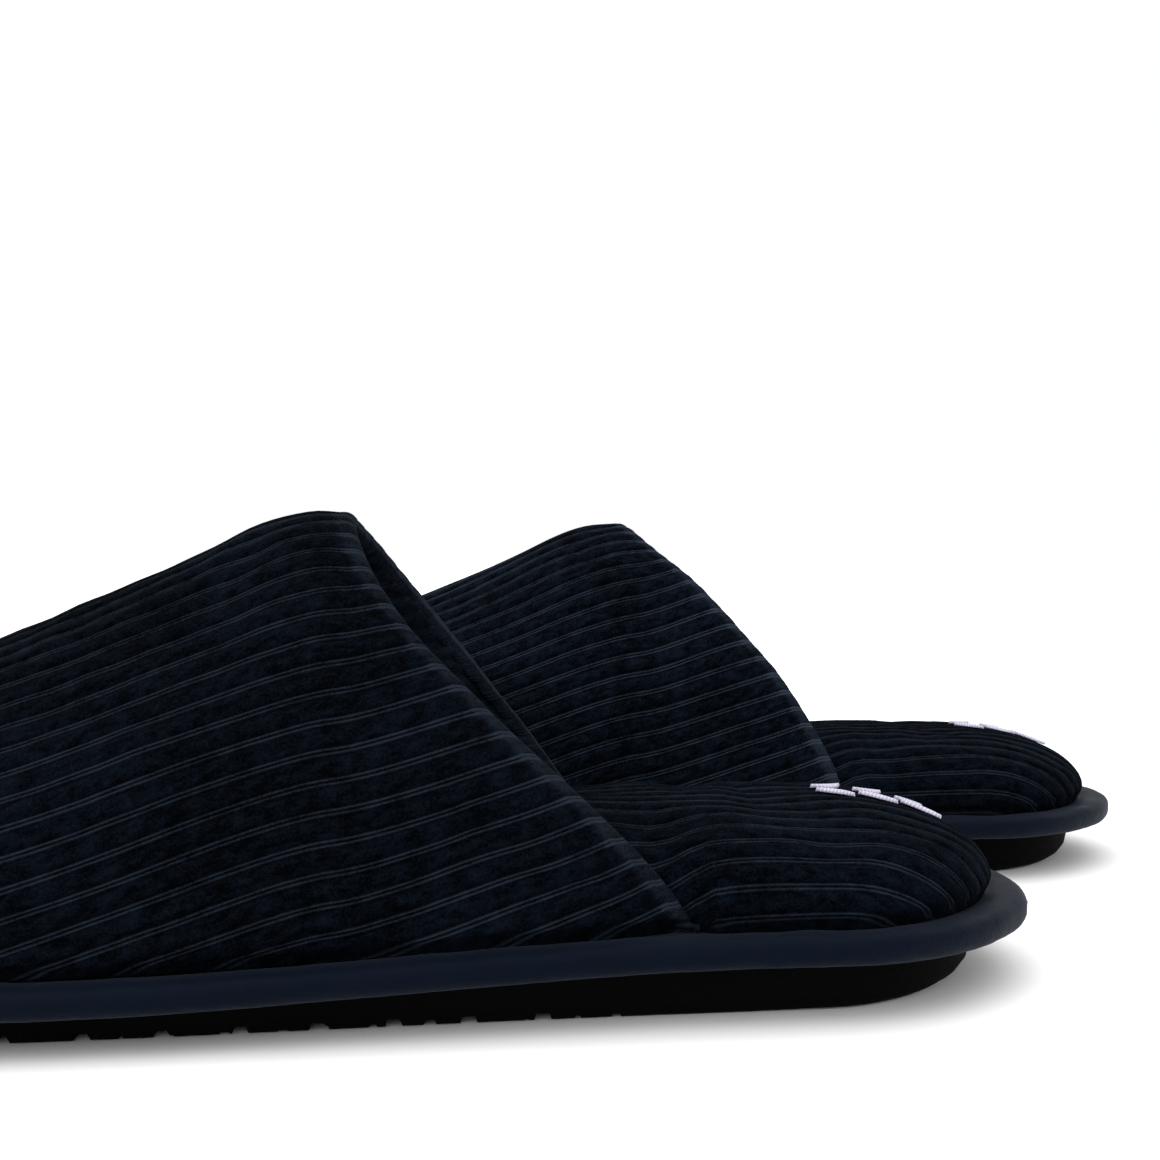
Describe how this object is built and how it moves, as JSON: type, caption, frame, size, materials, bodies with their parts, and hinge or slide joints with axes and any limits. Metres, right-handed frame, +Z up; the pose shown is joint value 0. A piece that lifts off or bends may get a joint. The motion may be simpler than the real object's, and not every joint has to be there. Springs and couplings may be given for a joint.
{
  "type": "spa slippers",
  "caption": "Pair of closed-toe mule slippers with a ribbed velour vamp, domed cushioned footbed, bound rim and wedge rubber outsole.",
  "frame": {"origin": "centre of the pair's bounding box, on the ground", "axes": "+X toward the heels along both slippers, -Y the left slipper's side, +Z up"},
  "size_m": [0.3548, 0.2168, 0.092],
  "materials": {
    "sole_rubber": "matte, fine grained",
    "board": "pressed fibre, matte",
    "eva_foam": "closed-cell foam, matte",
    "binding_fabric": "smooth brushed fabric",
    "cushion_foam": "open-cell foam, matte",
    "footbed_corduroy": "wide-wale corduroy velour",
    "embroidery_thread": "raised satin stitch",
    "vamp_corduroy": "wide-wale corduroy velour",
    "padding": "soft wadding",
    "plush_lining": "short-pile plush",
    "hem_fabric": "turned velour edge"
  },
  "bodies": {
    "left_slipper": {"left_outsole": "sole_rubber", "left_insole_board": "board", "left_midsole_sheet": "eva_foam", "left_rim_binding": "binding_fabric", "left_footbed_cushion": "cushion_foam", "left_insole_cover": "footbed_corduroy", "left_heel_embroidery": "embroidery_thread", "left_vamp_outer": "vamp_corduroy", "left_vamp_padding": "padding", "left_vamp_lining": "plush_lining", "left_topline_hem": "hem_fabric"},
    "right_slipper": {"right_outsole": "sole_rubber", "right_insole_board": "board", "right_midsole_sheet": "eva_foam", "right_rim_binding": "binding_fabric", "right_footbed_cushion": "cushion_foam", "right_insole_cover": "footbed_corduroy", "right_heel_embroidery": "embroidery_thread", "right_vamp_outer": "vamp_corduroy", "right_vamp_padding": "padding", "right_vamp_lining": "plush_lining", "right_topline_hem": "hem_fabric"}
  },
  "joints": [
    {"name": "right_slipper_lift", "type": "slide", "parent": "left_slipper", "child": "right_slipper", "axis": [0, 0, 1], "range_m": [0, 0.15]}
  ]
}
